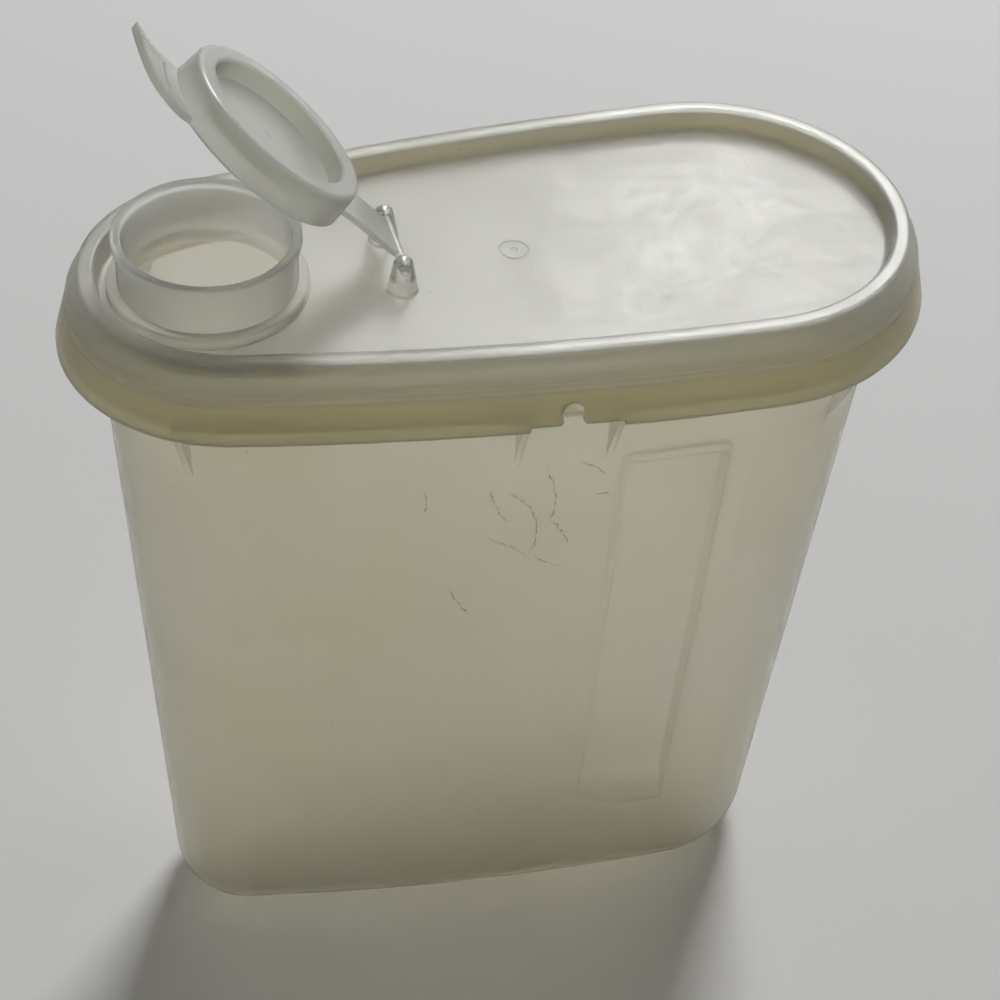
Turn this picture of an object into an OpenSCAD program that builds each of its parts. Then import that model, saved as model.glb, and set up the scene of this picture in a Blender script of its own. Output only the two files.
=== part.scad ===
/* [Plan outline] */
// length over the outer edge of the lid's bead
plan_l = 210; // [190:1:230]
// radius of the end that carries the spout
spout_end_r = 37.2; // [34:0.1:42]
// radius of the far end
far_end_r = 48.5; // [44:0.1:54]

/* [Container] */
// height of the rim above the table
container_h = 229; // [180:1:260]
// wall thickness
wall_t = 1.8; // [1.4:0.1:2.4]
// floor thickness at the standing ring
floor_t = 2.6; // [2:0.1:4]
// lean of the walls for drawing from the mould, in degrees
draft = 3.25; // [2:0.05:4]
// radius where walls and floor meet
foot_r = 15.5; // [8:0.5:18]
// width of the ring that the container stands on
foot_w = 4; // [2:0.5:6]
// how far the middle of the base stands clear of the table
foot_lift = 0.8; // [0.4:0.1:1.4]
// thickness of the upright rim
rim_t = 1.6; // [1.2:0.1:2.2]
// height of the rim above its flange
rim_h = 14.65; // [12:0.05:16]
// thickness of the flange under the rim
flange_t = 1.6; // [1.2:0.1:2.4]
// how far the wall steps in under the rim
wall_step = 2.6; // [1.8:0.1:3.4]
// height over which the inside narrows below the rim
neck_h = 5; // [3:0.5:8]

/* [Gusset ribs] */
// thickness of a rib
rib_t = 1.6; // [1.2:0.1:2.4]
// length of a rib down the wall
rib_h = 23.4; // [15:0.1:32]
// straight part of a rib's outer edge
rib_lip = 1.9; // [1:0.1:4]
// place along the container of the side rib nearer the spout
near_rib_x = -6; // [-20:0.1:5]
// place along the container of the other side rib
far_rib_x = 17.4; // [8:0.1:30]
// place of the rib on the spout end, as an angle round it
spout_rib_a = 120.4; // [110:0.1:150]
// place of the rib on the far end, as an angle round it
far_rib_a = 58.9; // [30:0.1:75]

/* [Grip recess] */
// place of the recess along the container
grip_x = 36.4; // [28:0.1:42]
// width at the mouth
grip_w = 27; // [20:0.5:34]
// depth
grip_d = 1.3; // [0.8:0.1:2]
// width of each sloping side
grip_side = 1.7; // [1:0.1:3]
// height of the top edge
grip_top = 187; // [150:1:200]
// height where the floor starts to run out
grip_low = 58; // [45:1:90]
// length of the run-out
grip_fade = 18; // [10:1:30]
// radius of the top corners
grip_corner_r = 2.5; // [1:0.5:6]

/* [Lid] */
// wall thickness of the bead and skirt
lid_t = 1.3; // [1:0.05:1.7]
// thickness of the panel
panel_t = 1.4; // [1:0.1:2]
// depth of the panel below the bead
panel_drop = 5.4; // [4:0.1:8]
// width of the bead at its crest
bead_w = 4.8; // [4.4:0.1:6]
// how far the bead's inner wall slopes to the panel
bead_slope = 0.8; // [0.4:0.1:1.4]
// rounding of the bead
bead_r = 1.25; // [0.6:0.05:1.6]
// fillet between bead and panel
panel_fillet = 1; // [0.5:0.1:2]
// how far the shoulder stands out from the bead
shoulder_w = 2.6; // [2:0.1:3.4]
// height of the slope from the bead to the shoulder
shoulder_drop = 5.6; // [4.5:0.1:7]
// height of the shoulder band
shoulder_h = 4.1; // [3:0.1:6]
// width of each fine step on the shoulder
step_w = 0.15; // [0.05:0.05:0.3]
// how far the last slope runs out to the skirt
skirt_lead = 0.25; // [0.1:0.05:0.5]
// height of the skirt below the shoulder
skirt_h = 8.6; // [7:0.1:11]
// how far the skirt flares
skirt_flare = 2.25; // [1.5:0.05:3]
// gap between parts that fit together
fit_gap = 0.3; // [0.2:0.05:0.5]
// gap between faces that seat on each other
seat_gap = 0.05; // [0.02:0.01:0.1]

/* [Skirt notch] */
// place of the notch along the front
notch_x = 4.1; // [-2:0.1:12]
// width of its neck
notch_w = 5; // [4:0.1:8]
// radius of its round end
notch_r = 2.75; // [2.2:0.05:5]
// height of the notch
notch_h = 6; // [4.5:0.1:7.5]
// middle of the shorter edge on both sides of it
notch_land_x = 5.3; // [0:0.1:12]
// width of the shorter edge
notch_land_w = 22.9; // [12:0.1:40]
// how much shorter that edge is
notch_land_h = 0.4; // [0.2:0.1:1]

/* [Gate marks] */
// place of the lid's mark along the panel
mark_x = 2.8; // [-10:0.1:20]
// radius of the ring round the lid's mark
mark_r = 3.8; // [3:0.1:6]
// width of the ring
mark_ring_w = 0.5; // [0.3:0.1:1]
// depth of the marks
mark_d = 0.2; // [0.1:0.05:0.3]
// radius of the pit that the gate leaves
pit_r = 0.9; // [0.6:0.1:1.5]

/* [Spout] */
// inner radius
bore_r = 20.2; // [17:0.1:21]
// wall thickness
spout_t = 1.5; // [1.2:0.1:2.2]
// height above the panel
spout_h = 15.95; // [12:0.05:22]
// how far the lip stands out
lip_w = 0.9; // [0.5:0.1:1.5]
// height of the lip
lip_h = 2; // [1.5:0.1:4]
// width of the collar at the foot
collar_w = 2.6; // [1.5:0.1:4]
// height of the collar
collar_h = 2.95; // [1.5:0.05:4]
// gap between the collar and the bead
spout_gap = 1.65; // [0.5:0.05:4]

/* [Flip cap] */
// height over all
cap_h = 8.7; // [8:0.1:11]
// wall thickness
cap_t = 1.2; // [1:0.05:1.6]
// flare of the skirt
cap_flare = 0.55; // [0.3:0.05:1]
// rounding of the crest
cap_round = 1.6; // [0.8:0.1:2]
// gap between the skirt and the spout's lip
cap_gap = 0.4; // [0.35:0.05:0.8]
// gap between the plug and the bore
plug_gap = 0.4; // [0.35:0.05:0.8]
// taper of the plug, so that it swings clear of the bore
plug_taper = 0.9; // [0.8:0.05:1.3]
// height of the tapered end of the plug
plug_lead_h = 3.6; // [2:0.1:4]
// depth of the recess in the top
recess_d = 4.7; // [3:0.1:5.5]
// width of the ring round the recess, from the plug inwards
recess_rim = 1; // [0.8:0.1:2]
// slope of the recess wall
recess_slope = 0.6; // [0.2:0.1:1]
// chamfer of the recess's upper edge
recess_edge = 0.5; // [0.2:0.1:0.8]

/* [Thumb tab] */
// length beyond the skirt
tab_l = 17; // [10:0.5:20]
// width at the skirt
tab_w = 20.4; // [14:0.2:24]
// radius of the tip
tab_tip_r = 9.4; // [5:0.1:10]
// thickness
tab_t = 1.7; // [1.3:0.1:2.4]
// slope where it leaves the skirt, in degrees
tab_tilt = 8; // [0:1:20]
// radius of its upward bend
tab_bend_r = 40; // [30:1:90]
// depth of the thumb dish
dish_d = 0.5; // [0.2:0.1:0.8]
// width of the rim round the dish
dish_rim = 1.9; // [1:0.1:3]

/* [Hinge] */
// distance from the cap's skirt to the axle
arm_l = 20.7; // [16:0.1:28]
// width of the arm
arm_w = 14.4; // [10:0.2:18]
// thickness of the arm
arm_t = 1.4; // [1:0.1:2]
// height of the axle above the panel
hinge_h = 7.55; // [6.5:0.05:9]
// radius of the pins
pin_r = 1.2; // [0.9:0.05:1.4]
// gap round the pins
pin_gap = 0.08; // [0.04:0.01:0.1]
// gap between the arm and each post
post_gap = 0.6; // [0.3:0.1:1.5]
// radius of a post's domed head
post_head_r = 2.5; // [2.2:0.1:3.2]
// radius of a post's foot
post_foot_r = 4; // [3:0.1:5]
// angle at which the cap rests in the photographed pose
rest_angle = 42; // [0:1:150]

/* [Hidden] */
$fn = 96;
// facets in the round of the long sides, which are a small part of a large circle
side_fn = 720;
over = 1;

// The plan is an egg of four tangent arcs. The long sides bow about centres that lie
// level with the far end's centre, so their radius follows from the two ends. That
// centre is kept to a thousandth, so that neighbouring arcs meet without a step.
end_x = spout_end_r - plan_l / 2;
far_x = plan_l / 2 - far_end_r;
end_gap = far_end_r - spout_end_r;
mid_y = round(1000 * (pow(far_x - end_x, 2) - end_gap * end_gap) / (2 * end_gap)) / 1000;
side_r = mid_y + far_end_r;
// a point out on the line where a side meets the spout end
seam_k = 0.15;
seam = [end_x - (far_x - end_x) * seam_k, mid_y * seam_k];

// heights
bead_z = container_h + seat_gap + lid_t;
panel_z = bead_z - panel_drop;
shoulder_z = bead_z - shoulder_drop;
skirt_z = shoulder_z - shoulder_h - step_w * 4;
skirt_foot_z = skirt_z - skirt_h;
flange_z = container_h - rim_h;
flange_foot_z = flange_z - flange_t;
spout_z = panel_z + spout_h;
crest_z = spout_z + 3 * seat_gap + cap_t;
cap_foot_z = crest_z - cap_h;
hinge_z = panel_z + hinge_h;

// offsets from the plan outline, outward
rim_u = -lid_t - fit_gap;
wall_u = rim_u - wall_step;
skirt_u = shoulder_w + 4 * step_w + skirt_lead;
skirt_foot_u = skirt_u + skirt_flare;
panel_u = -bead_w - bead_slope;
flange_u = skirt_u - lid_t - fit_gap + skirt_flare * (skirt_z - flange_z) / skirt_h;

// the fillet at the foot is limited by the room inside the spout end
foot_room = spout_end_r + wall_u - flange_foot_z * tan(draft) - foot_w - over;
foot_fit = min(foot_r, foot_room);
foot_u = side_u(foot_fit) - foot_fit / cos(draft);
foot_in_r = foot_fit - wall_t;
foot_in_z = floor_t + foot_in_r;
foot_in_u = side_u(foot_in_z) - foot_fit / cos(draft);

// spout, cap and hinge
lip_r = bore_r + spout_t + lip_w;
collar_r = bore_r + spout_t + collar_w;
spout_x = -plan_l / 2 - panel_u + spout_gap + collar_r;
plug_r = bore_r - plug_gap;
skirt_in_r = lip_r + cap_gap;
cap_r = skirt_in_r + cap_t + cap_flare;
hinge_x = spout_x + cap_r + arm_l;
post_y = arm_w / 2 + post_gap + post_head_r;

function side_u(z) = wall_u - (flange_foot_z - z) * tan(draft);
function arm_z(s) = cap_foot_z + arm_t / 2 + (hinge_z - cap_foot_z - arm_t / 2) * (3 - 2 * s) * s * s;

// the ground that the spout end and one long side cover
end_ground = [[end_x, 0], seam, [-plan_l, seam[1]], [-plan_l, -seam[1]], [seam[0], -seam[1]]];
side_ground = [[end_x, 0], seam, [far_x, seam[1]], [far_x, 0]];

// carries a section, drawn as offset and height, once round the plan
module sweep() {
  translate([far_x, 0, 0]) rotate([0, 0, -90]) rotate_extrude(angle = 180)
    translate([far_end_r, 0]) children();
  intersection() {
    translate([end_x, 0, 0]) rotate([0, 0, 90]) rotate_extrude(angle = 180)
      translate([spout_end_r, 0]) children();
    translate([0, 0, -over]) linear_extrude(height = bead_z + 2 * over) polygon(end_ground);
  }
  for (side = [0, 1]) {
    mirror([0, side, 0]) intersection() {
      translate([far_x, -mid_y, 0]) rotate([0, 0, 90]) rotate_extrude(angle = 45, $fn = side_fn)
        translate([side_r, 0]) children();
      translate([0, 0, -over]) linear_extrude(height = bead_z + 2 * over) polygon(side_ground);
    }
  }
}

// the filled plan, grown or shrunk by an offset
module plan(off) {
  intersection() {
    translate([far_x, 0]) circle(r = far_end_r + off);
    translate([far_x, -plan_l]) square([plan_l, 2 * plan_l]);
  }
  intersection() {
    translate([end_x, 0]) circle(r = spout_end_r + off);
    polygon(end_ground);
  }
  for (side = [0, 1]) {
    mirror([0, side]) intersection() {
      translate([far_x, -mid_y]) circle(r = side_r + off, $fn = side_fn);
      polygon(side_ground);
    }
  }
}

// a quarter disc with its centre at the origin, below and to the right of it
module quarter(r) {
  intersection() {
    circle(r = r);
    translate([0, -r]) square([r, r]);
  }
}

module wall_outside() {
  translate([foot_u, foot_fit]) quarter(foot_fit);
  translate([foot_u - foot_w, 0]) square([foot_w + over, floor_t]);
  polygon([
    [foot_u, foot_fit],
    [foot_u + foot_fit * cos(draft), foot_fit - foot_fit * sin(draft)],
    [wall_u, flange_foot_z],
    [flange_u, flange_foot_z],
    [flange_u, flange_z],
    [rim_u, flange_z],
    [rim_u, container_h - rim_t / 4],
    [rim_u - rim_t / 4, container_h],
    [rim_u - rim_t * 3 / 4, container_h],
    [rim_u - rim_t, container_h - rim_t / 4],
    [foot_u, container_h - rim_t / 4]
  ]);
}

module wall_inside() {
  inside_u = wall_u - wall_t / cos(draft);
  translate([foot_in_u, foot_in_z]) quarter(foot_in_r);
  polygon([
    [foot_u - foot_w - over, floor_t],
    [foot_in_u, floor_t],
    [foot_in_u, foot_in_z],
    [foot_in_u + foot_in_r * cos(draft), foot_in_z - foot_in_r * sin(draft)],
    [inside_u, flange_foot_z],
    [inside_u, flange_z],
    [rim_u - rim_t, flange_z + neck_h],
    [rim_u - rim_t, container_h + over],
    [foot_u - foot_w - over, container_h + over]
  ]);
}

module rib_section() {
  polygon([
    [wall_u - wall_t / 2, flange_foot_z + flange_t / 2],
    [flange_u, flange_foot_z + flange_t / 2],
    [flange_u, flange_foot_z - rib_lip],
    [side_u(flange_foot_z - rib_h), flange_foot_z - rib_h],
    [side_u(flange_foot_z - rib_h) - wall_t / 2, flange_foot_z - rib_h]
  ]);
}

module rib_on(x, y, r, angle) {
  translate([x, y, 0]) rotate([0, 0, angle]) translate([r, 0, 0]) rotate([90, 0, 0])
    linear_extrude(height = rib_t, center = true) rib_section();
}

module front_ribs() {
  rib_on(end_x, 0, spout_end_r, -spout_rib_a);
  rib_on(far_x, 0, far_end_r, -far_rib_a);
  for (x = [near_rib_x, far_rib_x]) {
    rib_on(far_x, mid_y, side_r, asin((x - far_x) / side_r) - 90);
  }
}

// the recess as three views that meet: across, from the front and from the side
module grip_shape(grow, start) {
  face_y = sqrt(pow(side_r, 2) - pow(grip_x - far_x, 2)) - mid_y + side_u(grip_top);
  len = grip_top - grip_low + grip_fade;
  half = grip_w / 2 + grow;
  deep = grip_d + grow;
  translate([grip_x, -face_y, grip_top]) rotate([draft, 0, 0]) intersection() {
    translate([0, 0, -len - grow - over]) linear_extrude(height = len + 2 * grow + 2 * over)
      polygon([
        [-half - grip_side, -grip_d],
        [half + grip_side, -grip_d],
        [half - grip_side, deep],
        [-half + grip_side, deep]
      ]);
    translate([0, deep + over, 0]) rotate([90, 0, 0]) linear_extrude(height = deep + over - start)
      grip_front(half + grip_side, len + grow, grip_corner_r + grow, grow);
    translate([-half - over - grip_side, 0, 0]) rotate([90, 0, 90])
      linear_extrude(height = 2 * (half + over + grip_side))
        polygon([
          [start, grow + over],
          [deep, grow + over],
          [deep, -(grip_top - grip_low)],
          [0, -len - grow],
          [start, -len - grow]
        ]);
  }
}

module grip_front(half, len, r, grow) {
  translate([-half, -len - over]) square([2 * half, len + over + grow - r]);
  translate([-half + r + grip_side, -len]) square([2 * (half - r - grip_side), len + grow]);
  translate([-half + r + grip_side, grow - r]) circle(r = r);
  translate([half - r - grip_side, grow - r]) circle(r = r);
}

module grips(grow, start) {
  for (side = [0, 1]) {
    mirror([0, side, 0]) grip_shape(grow, start);
  }
}

module container() {
  color([0.80, 0.79, 0.70]) difference() {
    union() {
      sweep() difference() {
        wall_outside();
        wall_inside();
      }
      translate([0, 0, foot_lift]) linear_extrude(height = floor_t - foot_lift) plan(foot_u - foot_w + over);
      front_ribs();
      mirror([0, 1, 0]) front_ribs();
      grips(wall_t, wall_t / 2);
    }
    grips(0, -grip_d);
  }
}

module bead_outside() {
  foot_slope = atan2(bead_slope, panel_drop);
  fillet_u = panel_u + panel_fillet * bead_slope / panel_drop - panel_fillet / cos(foot_slope);
  translate([-bead_r, bead_z - bead_r]) circle(r = bead_r);
  translate([bead_r - bead_w, bead_z - bead_r]) circle(r = bead_r);
  polygon([
    [fillet_u, panel_z - panel_t],
    [fillet_u, panel_z],
    [panel_u, panel_z],
    [-bead_w, bead_z - bead_r],
    [bead_r - bead_w, bead_z],
    [-bead_r, bead_z],
    [0, bead_z - bead_r],
    [shoulder_w - 2 * step_w, shoulder_z],
    [shoulder_w, shoulder_z - shoulder_h / 5],
    [shoulder_w, shoulder_z - shoulder_h / 3],
    [shoulder_w + step_w, shoulder_z - shoulder_h / 3 - step_w],
    [shoulder_w + step_w, shoulder_z - shoulder_h * 2 / 3],
    [shoulder_w + 2 * step_w, shoulder_z - shoulder_h * 2 / 3 - step_w],
    [shoulder_w + 3 * step_w, shoulder_z - shoulder_h],
    [skirt_u, skirt_z],
    [skirt_foot_u, skirt_foot_z],
    [skirt_foot_u, skirt_foot_z - over],
    [panel_u, skirt_foot_z - over],
    [panel_u, panel_z - panel_t]
  ]);
  difference() {
    translate([fillet_u, panel_z - panel_t / 2])
      square([panel_u - fillet_u + panel_fillet / 4, panel_fillet + panel_t / 2]);
    translate([fillet_u, panel_z + panel_fillet]) circle(r = panel_fillet);
  }
}

module bead_inside() {
  polygon([
    [-bead_w - bead_slope + lid_t, panel_z - panel_t],
    [-bead_w + lid_t, bead_z - lid_t],
    [-lid_t, bead_z - lid_t],
    [shoulder_w - 2 * step_w - lid_t, shoulder_z],
    [shoulder_w - lid_t, shoulder_z - shoulder_h / 5],
    [shoulder_w - lid_t + step_w, shoulder_z - shoulder_h],
    [skirt_u - lid_t, skirt_z],
    [skirt_foot_u - lid_t, skirt_foot_z],
    [skirt_foot_u - lid_t, skirt_foot_z - over],
    [panel_u - over, skirt_foot_z - over],
    [panel_u - over, panel_z - panel_t]
  ]);
}

module skirt_notch() {
  notch_z = skirt_foot_z + notch_h - notch_r;
  rotate([90, 0, 0]) linear_extrude(height = plan_l / 2) union() {
    translate([notch_x, notch_z]) circle(r = notch_r);
    polygon([
      [notch_x - notch_w / 2, notch_z],
      [notch_x + notch_w / 2, notch_z],
      [notch_x + notch_w / 2, skirt_foot_z + over],
      [notch_x + notch_w / 2 + over, skirt_foot_z],
      [notch_x + notch_w / 2 + over, skirt_foot_z - over],
      [notch_x - notch_w / 2 - over, skirt_foot_z - over],
      [notch_x - notch_w / 2 - over, skirt_foot_z],
      [notch_x - notch_w / 2, skirt_foot_z + over]
    ]);
    translate([notch_land_x - notch_land_w / 2, skirt_foot_z - over])
      square([notch_land_w, over + notch_land_h]);
  }
}

module spout_section() {
  lip_round = lip_h / 4;
  tube_r = bore_r + spout_t;
  translate([bore_r + lip_round, spout_z - lip_round]) circle(r = lip_round);
  translate([lip_r - lip_round, spout_z - lip_round]) circle(r = lip_round);
  polygon([
    [bore_r, panel_z - panel_t],
    [collar_r, panel_z - panel_t],
    [collar_r, panel_z + collar_h - lip_round],
    [collar_r - lip_round, panel_z + collar_h],
    [tube_r, panel_z + collar_h],
    [tube_r, spout_z - lip_h - lip_w / 2],
    [lip_r, spout_z - lip_h],
    [lip_r, spout_z - lip_round],
    [lip_r - lip_round, spout_z],
    [bore_r + lip_round, spout_z],
    [bore_r, spout_z - lip_round]
  ]);
}

module posts() {
  for (side = [-1, 1]) {
    translate([hinge_x, side * post_y, panel_z - panel_t / 2]) {
      cylinder(r1 = post_foot_r, r2 = post_head_r, h = hinge_h + panel_t / 2);
      translate([0, 0, hinge_h + panel_t / 2]) sphere(r = post_head_r);
    }
  }
}

module lid() {
  bore_out = post_y + post_foot_r;
  color([0.78, 0.80, 0.78]) difference() {
    union() {
      difference() {
        union() {
          sweep() difference() {
            bead_outside();
            bead_inside();
          }
          translate([0, 0, panel_z - panel_t]) linear_extrude(height = panel_t) plan(panel_u + lid_t / 2);
        }
        translate([spout_x, 0, panel_z - panel_t - over])
          cylinder(r = bore_r + spout_t / 2, h = panel_t + 2 * over);
      }
      translate([spout_x, 0, 0]) rotate_extrude() spout_section();
      posts();
    }
    difference() {
      skirt_notch();
      translate([0, 0, skirt_foot_z - 2 * over]) linear_extrude(height = skirt_h) plan(rim_u);
    }
    translate([hinge_x, bore_out, hinge_z]) rotate([90, 0, 0])
      cylinder(r = pin_r + pin_gap, h = 2 * bore_out);
    gate_mark();
  }
}

// the mark that the moulding gate leaves: a shallow ring round a small pit
module gate_mark() {
  translate([mark_x, 0, panel_z - mark_d]) {
    difference() {
      cylinder(r = mark_r, h = mark_d + over);
      translate([0, 0, -over]) cylinder(r = mark_r - mark_ring_w, h = mark_d + 3 * over);
    }
    cylinder(r = pit_r, h = mark_d + over);
  }
}

module cap_outside() {
  recess_r = plug_r - recess_rim;
  plug_foot_z = -recess_d - cap_t;
  top_r = skirt_in_r + cap_t;
  translate([top_r - cap_round, -cap_round]) circle(r = cap_round);
  polygon([
    [0, plug_foot_z],
    [plug_r - plug_taper, plug_foot_z],
    [plug_r, plug_foot_z + plug_lead_h],
    [plug_r, -cap_h],
    [cap_r, -cap_h],
    [top_r, -cap_round],
    [top_r - cap_round, 0],
    [recess_r + recess_edge, 0],
    [recess_r, -recess_edge],
    [recess_r - recess_slope, -recess_d],
    [pit_r, -recess_d],
    [pit_r, -recess_d - mark_d],
    [0, -recess_d - mark_d]
  ]);
}

// the space between plug and skirt, which the spout's lip fills
module cap_hollow() {
  polygon([
    [plug_r, -cap_h - over],
    [plug_r, -cap_t],
    [skirt_in_r, -cap_t],
    [skirt_in_r, -cap_t - lip_h],
    [cap_r - cap_t, -cap_h],
    [cap_r - cap_t, -cap_h - over]
  ]);
}

module tongue(root_w, tip_r, length) {
  tip_x = -cap_r - length + tip_r;
  translate([tip_x, 0]) circle(r = tip_r);
  polygon([
    [tip_x, -tip_r],
    [tip_x, tip_r],
    [-cap_r, root_w / 2],
    [-cap_r * 0.7, root_w / 2],
    [-cap_r * 0.7, -root_w / 2],
    [-cap_r, -root_w / 2]
  ]);
}

// the tab's side view between two depths below its upper face
module tab_side(top, bottom) {
  bend_x = -cap_r + tab_bend_r * sin(tab_tilt);
  bend_z = -cap_h + tab_bend_r * cos(tab_tilt);
  intersection() {
    translate([bend_x, bend_z]) difference() {
      circle(r = tab_bend_r - tab_t + bottom, $fn = 180);
      circle(r = tab_bend_r - tab_t + top, $fn = 180);
    }
    translate([-cap_r - tab_l - over, -cap_h]) square([tab_l + over + cap_r * 0.3, tab_bend_r]);
  }
}

module tab() {
  difference() {
    intersection() {
      translate([0, tab_w, 0]) rotate([90, 0, 0]) linear_extrude(height = 2 * tab_w) tab_side(0, tab_t);
      translate([0, 0, -cap_h - over]) linear_extrude(height = tab_bend_r) tongue(tab_w, tab_tip_r, tab_l);
    }
    intersection() {
      translate([0, tab_w, 0]) rotate([90, 0, 0]) linear_extrude(height = 2 * tab_w) tab_side(-over, dish_d);
      translate([0, 0, -cap_h - over]) linear_extrude(height = tab_bend_r) difference() {
        tongue(tab_w - 2 * dish_rim, tab_tip_r - dish_rim, tab_l - dish_rim);
        circle(r = cap_r + 2 * dish_rim);
      }
    }
    translate([0, 0, -cap_h - over]) cylinder(r = cap_r - cap_t / 2, h = tab_bend_r);
  }
}

module arm() {
  steps = 10;
  pin_l = post_y + post_head_r / 2;
  root_x = cap_r - cap_t / 2;
  run = arm_l + cap_t / 2;
  curve = [for (i = [0 : steps]) [root_x + run * i / steps, arm_z(i / steps) - crest_z]];
  difference() {
    translate([0, arm_w / 2, 0]) rotate([90, 0, 0]) linear_extrude(height = arm_w) union() {
      polygon(concat(
        [[root_x - cap_r * 0.15, -cap_h], [root_x - cap_r * 0.15, -cap_h + arm_t]],
        [for (p = curve) [p[0], p[1] + arm_t / 2]],
        [for (i = [steps : -1 : 0]) [curve[i][0], curve[i][1] - arm_t / 2]]
      ));
      translate([cap_r + arm_l, hinge_z - crest_z]) circle(r = pin_r);
    }
    translate([0, 0, -cap_h - over]) cylinder(r = cap_r - cap_t / 2, h = cap_h);
  }
  translate([cap_r + arm_l, pin_l, hinge_z - crest_z]) rotate([90, 0, 0]) cylinder(r = pin_r, h = 2 * pin_l);
}

module flip_cap() {
  color([0.74, 0.76, 0.70]) translate([hinge_x, 0, hinge_z])
    rotate([0, rest_angle, 0]) translate([spout_x - hinge_x, 0, crest_z - hinge_z])
      union() {
        difference() {
          rotate_extrude() cap_outside();
          rotate_extrude() cap_hollow();
        }
        tab();
        arm();
      }
}

container();
lid();
flip_cap();
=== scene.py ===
# %% [markdown]
# # A cereal container with a flip spout
# The real thing is three mouldings of milky polyethylene: a tall oval body, a
# press-on lid with a spout, and a cap that swings on two posts. Their shapes are
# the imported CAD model's, whose metres are also the frame for all that follows.
# What is made here is their plastic, with its wear, and the light that it needs.

# %% Load the frame
import bpy
import math
import numpy as np
from mathutils import Matrix, Vector

MM = 0.001
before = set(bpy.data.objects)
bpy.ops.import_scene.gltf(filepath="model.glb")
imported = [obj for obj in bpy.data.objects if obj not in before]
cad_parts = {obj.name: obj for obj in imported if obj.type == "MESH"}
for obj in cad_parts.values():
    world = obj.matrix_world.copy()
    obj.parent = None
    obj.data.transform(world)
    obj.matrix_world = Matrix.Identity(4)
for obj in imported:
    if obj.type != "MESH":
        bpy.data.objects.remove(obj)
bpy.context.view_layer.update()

# %% [markdown]
# ## The camera
# The photograph looks down on the long side from a little left of the middle.
# A camera can be aimed by an object constraint or by its three axes. The axes
# are used, because the photograph is also tilted, and a tilt is one more turn.

# %% Place the camera
CAMERA_AT = np.array([-136.3, -426.6, 562.5]) * MM
TURN, TIP, TILT = 0.3183, 0.7559, 0.07753
LENS_MM, SENSOR_MM = 81.0, 36.0

forward = np.array([math.sin(TURN) * math.cos(TIP), math.cos(TURN) * math.cos(TIP), -math.sin(TIP)])
level = np.array([math.cos(TURN), -math.sin(TURN), 0.0])
upward = np.cross(level, forward)
right = math.cos(TILT) * level + math.sin(TILT) * upward
up = math.cos(TILT) * upward - math.sin(TILT) * level

scene = bpy.context.scene
camera = bpy.data.objects.new("camera", bpy.data.cameras.new("camera"))
camera.data.lens, camera.data.sensor_width = LENS_MM, SENSOR_MM
camera.data.clip_start, camera.data.clip_end = 0.01, 30.0
axes = Matrix(np.column_stack([right, up, -forward]).tolist()).to_4x4()
camera.matrix_world = Matrix.Translation(Vector(CAMERA_AT)) @ axes
scene.collection.objects.link(camera)
scene.camera = camera
scene.view_settings.view_transform = "Standard"
print("camera", [round(v, 3) for v in camera.location])

# %% [markdown]
# ## A small kit for shader trees
# A material is a tree of nodes, which can be wired by hand in the editor. In a
# script a short helper keeps each line to one node: it makes the node, sets its
# plain values and links its inputs.

# %% Node helper
class Tree:
    """Makes nodes in one material: add(type, settings, input=value or socket)."""

    def __init__(self, name):
        self.material = bpy.data.materials.new(name)
        self.material.use_nodes = True
        self.nodes = self.material.node_tree.nodes
        self.links = self.material.node_tree.links
        self.nodes.clear()

    def add(self, kind, settings=None, **inputs):
        node = self.nodes.new("ShaderNode" + kind)
        for name, value in (settings or {}).items():
            setattr(node, name, value)
        for name, value in inputs.items():
            key = int(name[1:]) if name[0] == "i" and name[1:].isdigit() else name.replace("_", " ")
            self.put(node.inputs[key], value)
        return node

    def put(self, socket, value):
        if isinstance(value, bpy.types.NodeSocket):
            self.links.new(value, socket)
        else:
            socket.default_value = value

    def math(self, operation, a, b=0.0, c=0.0):
        return self.add("Math", {"operation": operation}, i0=a, i1=b, i2=c).outputs[0]

    def ramp(self, value, low, high, to_low=0.0, to_high=1.0):
        """value from low..high becomes to_low..to_high, eased and clamped."""
        node = self.add("MapRange", {"interpolation_type": "SMOOTHSTEP"}, Value=value)
        for name, number in zip(("From Min", "From Max", "To Min", "To Max"), (low, high, to_low, to_high)):
            node.inputs[name].default_value = number
        return node.outputs[0]

    def noise(self, where, scale, detail=3.0, rough=0.55, stretch=None):
        if stretch:
            where = self.add("Mapping", Vector=where, Rotation=stretch[0], Scale=stretch[1]).outputs[0]
        return self.add("TexNoise", Vector=where, Scale=scale, Detail=detail, Roughness=rough).outputs[0]

    def mix(self, factor, a, b):
        node = self.add("Mix", {"data_type": "RGBA"}, i0=factor)
        self.put(node.inputs[6], a)
        self.put(node.inputs[7], b)
        return node.outputs[2]


def rgb(r, g, b):
    return (r, g, b, 1.0)


# %% [markdown]
# ## Scratches
# Years of use have left curved scratches on the front wall and on the panel.
# They could be a painted picture, but a picture blurs from close by. Each one
# is an arc instead, given by three points in millimetres: the shader measures
# how far a spot is from the arc's circle, and how far from the arc's middle.
# Noise then shifts the arcs a little and breaks them up, as hair lines are.

# %% One scratch
REACH, FADES_FROM = 0.62, 0.55
WOBBLE, WOBBLE_SCALE = 2.2 * MM, 420.0
BREAK_SCALE, BREAKS, FAINTEST = 520.0, (0.38, 0.60), 0.25


def circle_through(a, b, c):
    """Centre and radius of the circle through three points: its centre is equally far from all."""
    a, b, c = (np.array(p, float) for p in (a, b, c))
    sides = 2 * np.array([b - a, c - a])
    centre = np.linalg.solve(sides, [b @ b - a @ a, c @ c - a @ a])
    return centre, np.linalg.norm(a - centre)


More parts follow.
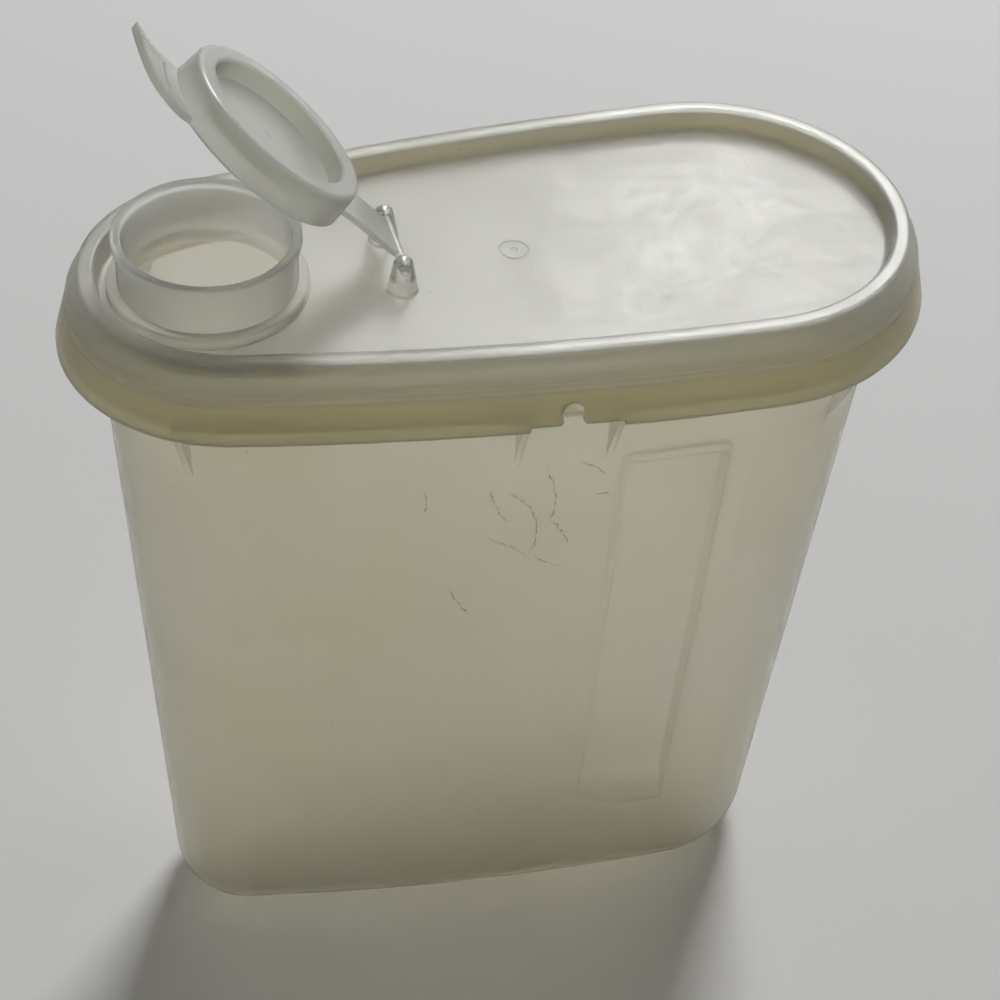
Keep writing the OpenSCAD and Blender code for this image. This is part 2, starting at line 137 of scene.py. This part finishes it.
def scratch(t, where, points, flat, width_mm):
    """1 on the arc and 0 off it. flat lists the two axes that the points are given in."""
    def at(pair):
        place = np.zeros(3)
        place[flat] = np.array(pair) * MM
        return tuple(place)

    def away(pair):
        return t.add("VectorMath", {"operation": "DISTANCE"}, i0=where, i1=at(pair)).outputs["Value"]

    centre, radius = circle_through(*points)
    reach = REACH * np.linalg.norm(np.subtract(points[2], points[0])) * MM
    off_line = t.math("ABSOLUTE", t.math("SUBTRACT", away(centre), radius * MM))
    line = t.ramp(off_line, 0.0, width_mm * MM / 2, 1.0, 0.0)
    ends = t.ramp(away(points[1]), reach * FADES_FROM, reach, 1.0, 0.0)
    return t.math("MULTIPLY", line, ends)


def scratches(t, where, arcs, flat, width_mm):
    """The strongest of many scratches, on where flattened to two axes, shifted and broken by noise."""
    keep = tuple(1.0 if axis in flat else 0.0 for axis in range(3))
    flattened = t.add("VectorMath", {"operation": "MULTIPLY"}, i0=where, i1=keep).outputs[0]
    wobble = t.add("TexNoise", Vector=where, Scale=WOBBLE_SCALE, Detail=2.0).outputs["Color"]
    shifted = t.add("VectorMath", {"operation": "MULTIPLY_ADD"}, i0=wobble,
                    i1=tuple(k * WOBBLE for k in keep), i2=flattened).outputs[0]
    total = 0.0
    for points in arcs:
        total = t.math("MAXIMUM", total, scratch(t, shifted, points, flat, width_mm))
    broken = t.ramp(t.noise(where, BREAK_SCALE, 3.0, 0.7), *BREAKS, FAINTEST, 1.0)
    return t.math("MULTIPLY", total, broken)


# %% [markdown]
# The wall's scratches are placed by how far along and how high they are, and
# the panel's by how far along and across, as they lie on the real object.

# %% Where the scratches are
WALL_ARCS = [
    [(2.6, 190.7), (6.4, 179.9), (6.2, 170.4)], [(6.2, 170.4), (9.3, 165.5), (11.2, 161.4)],
    [(-6.2, 181.8), (2.1, 170.9), (0.9, 157.6)], [(-10.2, 181.6), (-8.6, 176.7), (-4.1, 170.6)],
    [(-9.0, 164.9), (-4.4, 161.7), (0.9, 157.6)], [(2.7, 157.3), (6.1, 154.1), (9.8, 152.1)],
    [(-18.4, 146.5), (-16.1, 141.5), (-13.4, 136.7)], [(13.0, 190.0), (15.8, 187.9), (18.6, 185.3)],
    [(16.1, 177.8), (18.5, 178.0), (20.8, 177.8)], [(-26.5, 183.0), (-26.0, 180.0), (-27.0, 176.0)],
]
PANEL_ARCS = [
    [(44.6, -2.3), (42.0, -8.5), (38.5, -17.7)], [(72.8, 36.8), (73.6, 29.6), (73.5, 19.0)],
    [(60.2, -17.0), (62.4, -24.0), (63.7, -33.1)], [(87.9, 2.0), (89.5, -9.2), (86.9, -19.3)],
    [(31.5, 19.7), (31.6, 15.7), (31.4, 11.4)], [(42.0, -26.1), (45.7, -26.7), (49.5, -27.1)],
]
print("scratches:", len(WALL_ARCS), "on the wall,", len(PANEL_ARCS), "on the panel")

# %% [markdown]
# ## Specks and relief
# Old food-safe plastic has small dark inclusions, and rubbing leaves fine lines
# that cross each other. Both could be modelled, but they are thinner than a
# hair, so the shader draws them: a dot in a few cells of a Voronoi pattern, and
# noise stretched two ways. Heights are in metres, so the bump is true to size.

# %% Specks and relief
SPECK_SCALE, PICKED, DOT = 185.0, (0.925, 0.93), (0.03, 0.06)
FINE_RUB, GRAIN, WAVINESS, CUT_DEPTH = 0.016 * MM, 0.010 * MM, 0.12 * MM, 0.05 * MM
ONE_WAY_SCALE, OTHER_WAY_SCALE, GRAIN_SCALE, WAVE_SCALE = 260.0, 240.0, 900.0, 17.0
ONE_WAY = ((0.2, 0.1, 0.5), (1.0, 18.0, 6.0))
OTHER_WAY = ((-0.3, 0.2, -0.9), (16.0, 1.0, 5.0))


def specks(t, where):
    """1 in small dots, one in each of the few Voronoi cells that are picked by their colour."""
    cells = t.add("TexVoronoi", Vector=where, Scale=SPECK_SCALE)
    draw = t.add("SeparateColor", Color=cells.outputs["Color"]).outputs[0]
    return t.math("MULTIPLY", t.ramp(draw, *PICKED), t.ramp(cells.outputs["Distance"], *DOT, 1.0, 0.0))


def relief(t, where):
    """Height: two crossing sets of fine rubs, plus a grain, plus a slow waviness."""
    rubs = t.math("ADD", t.noise(where, ONE_WAY_SCALE, 2.0, 0.6, ONE_WAY),
                  t.noise(where, OTHER_WAY_SCALE, 2.0, 0.6, OTHER_WAY))
    height = t.math("MULTIPLY", rubs, FINE_RUB)
    height = t.math("MULTIPLY_ADD", t.noise(where, GRAIN_SCALE, 4.0, 0.6), GRAIN, height)
    return t.math("MULTIPLY_ADD", t.noise(where, WAVE_SCALE, 1.0, 0.4), WAVINESS, height)


# %% [markdown]
# ## Milky plastic
# Polyethylene is neither paint nor glass. Some light passes through with its
# direction blurred, and the rest sinks in, scatters and comes out on either
# side, so shade on it is never black. A clear, rough surface gives the first
# share, and subsurface scattering the second. Both live in one Principled
# shader, so the export keeps them. Its gloss is a thin coat of wax, and a bevel
# of the normals softens every moulded edge as the mould's small radii do.

# %% Milky plastic
EDGE_SOFTNESS = 0.35 * MM
SCATTER_DEPTH, SCATTER_BY_COLOUR = 3.0 * MM, (1.0, 0.96, 0.80)
PLASTIC_IOR, WAX_ROUGHNESS, WAX = 1.45, 0.14, 0.5
BLOTCH_SCALE, BLOTCHES = 14.0, (0.35, 0.7)
RUB_SCALE, RUBS, RUBBED_MORE = 55.0, (0.3, 0.7), 0.12
# The first tone here is painted shade, the darker, yellower look of the lid's doubled skirt; DIRT is real dirt in
# specks and scratches.
SKIRT_SHADE_TONE, DIRT, SPECK_SHARE = (0.90, 0.84, 0.60), (0.14, 0.12, 0.08), 0.7


def milky_plastic(name, colour, yellowed, rough, clear, marks, painted_shade=None, glassy=None, wax=None, polish=None):
    """Blurred see-through light and scattered light in the shares clear and 1 - clear, under wax."""
    t = Tree(name)
    where = t.add("TexCoord").outputs["Object"]
    tone = t.mix(t.ramp(t.noise(where, BLOTCH_SCALE), *BLOTCHES), rgb(*colour), rgb(*yellowed))
    # Painted shade: where the given mask is 1, the tone turns to the darker, yellower painted shade tone.
    if painted_shade:
        tone = t.mix(painted_shade(t, where), tone, rgb(*SKIRT_SHADE_TONE))
    tone = t.mix(t.math("MULTIPLY", specks(t, where), SPECK_SHARE), tone, rgb(*DIRT))
    height = relief(t, where)
    if marks:
        cut = t.math("MULTIPLY", scratches(t, where, marks["arcs"], marks["flat"], marks["width_mm"]),
                     marks["side"](t, where))
        tone = t.mix(t.math("MULTIPLY", cut, marks["share"]), tone, rgb(*marks["colour"]))
        height = t.math("MULTIPLY_ADD", cut, -CUT_DEPTH, height)
    soft_edge = t.add("Bevel", {"samples": 4}, Radius=EDGE_SOFTNESS).outputs[0]
    bump = t.add("Bump", Strength=1.0, Distance=1.0, Height=height, Normal=soft_edge).outputs[0]
    roughness = t.ramp(t.noise(where, RUB_SCALE, 4.0, 0.65), *RUBS, rough, rough + RUBBED_MORE)
    if polish:
        roughness = t.math("MULTIPLY", roughness, polish(t, where))
    shader = t.add("BsdfPrincipled", Base_Color=tone, Roughness=roughness, IOR=PLASTIC_IOR, Normal=bump,
                   Coat_Roughness=WAX_ROUGHNESS, Subsurface_Weight=1.0,
                   Subsurface_Radius=SCATTER_BY_COLOUR, Subsurface_Scale=SCATTER_DEPTH)
    t.put(shader.inputs["Transmission Weight"], glassy(t, where, clear) if glassy else clear)
    t.put(shader.inputs["Coat Weight"], wax(t, where) if wax else WAX)
    t.add("OutputMaterial", Surface=shader.outputs[0])
    return t.material


def paint(node, material):
    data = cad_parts[node].data
    data.materials.clear()
    data.materials.append(material)
    print(node, "wears", material.name, "with", len(material.node_tree.nodes), "nodes")


def axis_of(t, where, axis):
    return t.add("SeparateXYZ", Vector=where).outputs[axis]


# %% [markdown]
# ## The body
# The tall body is the clearest moulding, and its walls are a little yellowed in
# blotches. Dirt has settled in the front wall's scratches. They could go right
# through the body, so a mask on the depth axis keeps them on the front.

# %% Dress the body
BODY_MILK, BODY_YELLOWED = (0.995, 0.97, 0.875), (0.975, 0.935, 0.80)
FRONT_FADES = (-0.02, -0.015)


def front_only(t, where):
    """1 on the front long side, 0 behind."""
    return t.ramp(axis_of(t, where, 1), *FRONT_FADES, 1.0, 0.0)


wall_marks = {"arcs": WALL_ARCS, "flat": [0, 2], "side": front_only, "width_mm": 0.60, "colour": DIRT, "share": 1.0}
paint("container", milky_plastic("body_plastic", BODY_MILK, BODY_YELLOWED,
                                 rough=0.58, clear=0.97, marks=wall_marks))

# %% [markdown]
# ## The lid, where light gets through
# The lid isn't the same everywhere. Its bead and spout are thin and let more
# light through than the panel, and its two hinge posts are solid and polished
# by the mould. Each could be a piece of its own, but the real lid is one
# moulding, so it stays one, and the shader tells the places apart by height.

# %% Clear and polished places
ABOVE_PANEL, THIN_CLEAR = (0.2252, 0.2262), 0.96
HINGE_X, POST_HALF, POSTS_END, POLISHED = -28.0 * MM, (0.0052, 0.0060), (0.018, 0.020), 0.35


def clear_above(t, where, clear):
    """The see-through share: clear up to the panel, and nearly all on what stands above it."""
    return t.ramp(axis_of(t, where, 2), *ABOVE_PANEL, clear, THIN_CLEAR)


def polished_posts(t, where):
    """The share of roughness left: a third of it on the two hinge posts, all of it elsewhere."""
    x, y, z = (axis_of(t, where, axis) for axis in range(3))
    along = t.ramp(t.math("ABSOLUTE", t.math("SUBTRACT", x, HINGE_X)), *POST_HALF, 1.0, 0.0)
    across = t.ramp(t.math("ABSOLUTE", y), *POSTS_END, 1.0, 0.0)
    posts = t.math("MULTIPLY", t.math("MULTIPLY", along, across), t.ramp(z, *ABOVE_PANEL))
    return t.ramp(posts, 0.0, 1.0, 1.0, POLISHED)


# %% [markdown]
# ## The lid's painted skirt shade
# The skirt lies double over the body, so less light comes through it and it
# looks deeper in colour. That shade is painted into its colour as a darker,
# yellower tone, placed by height all round the skirt and kept off what faces up.

# %% Painted skirt shade
SKIRT_FADES, SIDEWAYS = (0.2180, 0.2295), (0.25, 0.8)


def upward(t):
    """How far the surface faces up, from -1 to 1."""
    return t.add("SeparateXYZ", Vector=t.add("TexCoord").outputs["Normal"]).outputs[2]


def painted_skirt_shade(t, where):
    """Painted shade: 1 low on the lid's sides, fading out at the bead's foot, and 0 on what faces up."""
    low = t.ramp(axis_of(t, where, 2), *SKIRT_FADES, 1.0, 0.0)
    return t.math("MULTIPLY", low, t.ramp(upward(t), *SIDEWAYS, 1.0, 0.0))


# %% [markdown]
# ## The lid's worn panel
# The panel is wiped and stacked on, so its wax is left only in patches, and the
# bead keeps an even share. Roughness could show this as well, but wax is a thin
# layer on top, so noise varies the coat's share and leaves the plastic as it is.

# %% Wax
PANEL_FADES, PANEL_LEVEL, FACING_UP = (0.2235, 0.2245), (0.2252, 0.2256), (0.9, 0.98)
PATCH_SCALE, PATCHES, WAX_LEFT, BEAD_WAX = 240.0, (0.40, 0.66), (0.06, 0.17), 0.22


def panel_only(t, where):
    """0 below the panel's height, 1 at it and above."""
    return t.ramp(axis_of(t, where, 2), *PANEL_FADES)


def panel_top(t, where):
    """1 on the lid's flat panel and 0 on what stands above it."""
    level = t.ramp(axis_of(t, where, 2), *PANEL_LEVEL, 1.0, 0.0)
    return t.math("MULTIPLY", level, t.ramp(upward(t), *FACING_UP))


def worn_wax(t, where):
    """The share of wax: BEAD_WAX on most of the lid, and less, in patches, on its panel."""
    left = t.ramp(t.noise(where, PATCH_SCALE, 8.0, 0.8), *PATCHES, *WAX_LEFT)
    return t.add("Mix", {"data_type": "FLOAT"}, i0=panel_top(t, where), i2=BEAD_WAX, i3=left).outputs[0]


# %% [markdown]
# The panel's scratches are fresher than the wall's, so they are pale. With its
# places and their finishes at hand, the lid is dressed as one moulding.

# %% Dress the lid
LID_MILK, LID_YELLOWED, FRESH_CUT = (0.95, 0.955, 0.935), (0.935, 0.94, 0.91), (0.97, 0.97, 0.95)
panel_marks = {"arcs": PANEL_ARCS, "flat": [0, 1], "side": panel_only, "width_mm": 0.45,
               "colour": FRESH_CUT, "share": 0.8}
# The lid's skirt gets its painted shade here.
paint("lid", milky_plastic("lid_plastic", LID_MILK, LID_YELLOWED, rough=0.50, clear=0.72, marks=panel_marks,
                           painted_shade=painted_skirt_shade, glassy=clear_above, wax=worn_wax, polish=polished_posts))

# %% [markdown]
# ## The cap
# The cap is thicker than the walls and slightly green, with a brighter gloss on
# its rims. It is handled most and scratched least, so it has specks and rubs but
# no single scratches. Its own tone and gloss are enough to set it apart.

# %% Dress the cap
CAP_MILK, CAP_YELLOWED = (0.935, 0.94, 0.87), (0.92, 0.92, 0.83)
paint("flip_cap", milky_plastic("cap_plastic", CAP_MILK, CAP_YELLOWED, rough=0.40, clear=0.85, marks=None))

# %% [markdown]
# ## The floor
# A plain pale floor carries the shadow. A flat plane would end in a horizon, so
# this is a grid that turns up far behind, as a studio's paper sweep does.
# Lamps light it unevenly far away. There the camera alone sees an even tone,
# which fades in with the distance, and the light on the object stays as it is.

# %% Floor
PALE, PAPER, EVEN_FROM = 0.52, 0.70, (0.7, 2.2)
SWEEP_STARTS = 0.3


def floor_sheet(half, rise, n=48):
    """A square grid: z is 0, then rises with the square of the way from 0.3 half to half behind."""
    s = np.linspace(-half, half, n)
    x, y = np.meshgrid(s, s)
    z = rise * np.clip((y - half * SWEEP_STARTS) / (half * (1 - SWEEP_STARTS)), 0, 1) ** 2
    points = np.stack([x, y, z], -1).reshape(-1, 3)
    i = np.arange(n * n).reshape(n, n)
    faces = np.stack([i[:-1, :-1], i[:-1, 1:], i[1:, 1:], i[1:, :-1]], -1).reshape(-1, 4)
    mesh = bpy.data.meshes.new("floor")
    mesh.from_pydata(points.tolist(), [], faces.tolist())
    mesh.shade_smooth()
    return bpy.data.objects.new("floor", mesh)


floor = floor_sheet(half=3.0, rise=1.2)
scene.collection.objects.link(floor)
t = Tree("floor_paper")
paper = t.add("BsdfDiffuse", Color=rgb(PAPER, PAPER, PAPER))
away = t.add("VectorMath", {"operation": "LENGTH"}, i0=t.add("TexCoord").outputs["Object"]).outputs["Value"]
seen = t.math("MULTIPLY", t.ramp(away, *EVEN_FROM), t.add("LightPath").outputs["Is Camera Ray"])
even = t.add("Emission", Color=rgb(PALE, PALE, PALE), Strength=1.0)
sheet = t.add("MixShader", i0=seen, i1=paper.outputs[0], i2=even.outputs[0])
t.add("OutputMaterial", Surface=sheet.outputs[0])
floor.data.materials.append(t.material)
print("floor", len(floor.data.vertices), "vertices")

# %% [markdown]
# ## The light
# Milky plastic only glows when light comes from behind it. So the main lamp is
# tall, soft, and behind on the right, where its reflection also grazes the
# panel. A weak one in front keeps the near walls from going dull.

# %% Lamps
AIM = Vector((0, 0, 0.12))


def softbox(name, towards, distance, width, height, watts):
    """A rectangular lamp in the direction towards, aimed at the middle of the object."""
    lamp = bpy.data.lights.new(name, "AREA")
    lamp.shape, lamp.size, lamp.size_y, lamp.energy = "RECTANGLE", width, height, watts
    place = Vector(towards).normalized()
    lamp_object = bpy.data.objects.new(name, lamp)
    lamp_object.location = AIM + place * distance
    lamp_object.rotation_mode = "QUATERNION"
    lamp_object.rotation_quaternion = place.to_track_quat("Z", "Y")
    scene.collection.objects.link(lamp_object)
    print(name, [round(v, 2) for v in lamp_object.location], watts, "W")


softbox("main_lamp", (0.355, 0.615, 0.705), distance=3.0, width=0.84, height=1.60, watts=70.0)
softbox("front_lamp", (-0.6, -0.9, 1.1), distance=2.4, width=1.8, height=1.8, watts=1.6)

# %% [markdown]
# The world gives a weak, slightly warm light from all round. The camera alone
# sees it in the floor's pale tone, so the floor has no visible end.

# %% World
WORLD_WARMTH, WORLD_STRENGTH = rgb(1.0, 0.99, 0.96), 0.14

world = bpy.data.worlds.new("room_light")
world.use_nodes = True
nodes, links = world.node_tree.nodes, world.node_tree.links
room = nodes["Background"]
room.inputs[0].default_value, room.inputs[1].default_value = WORLD_WARMTH, WORLD_STRENGTH
backdrop = nodes.new("ShaderNodeBackground")
backdrop.inputs[0].default_value, backdrop.inputs[1].default_value = rgb(PALE, PALE, PALE), 1.0
choose = nodes.new("ShaderNodeMixShader")
links.new(nodes.new("ShaderNodeLightPath").outputs["Is Camera Ray"], choose.inputs[0])
links.new(room.outputs[0], choose.inputs[1])
links.new(backdrop.outputs[0], choose.inputs[2])
links.new(choose.outputs[0], nodes["World Output"].inputs[0])
scene.world = world
print("world", world.name, "at", WORLD_STRENGTH)

# %% [markdown]
# ## Sizes, and the end
# Materials and light change no size, so the box round the dressed object has to
# be the CAD model's own box.

# %% Sizes, and the end
bpy.context.view_layer.update()
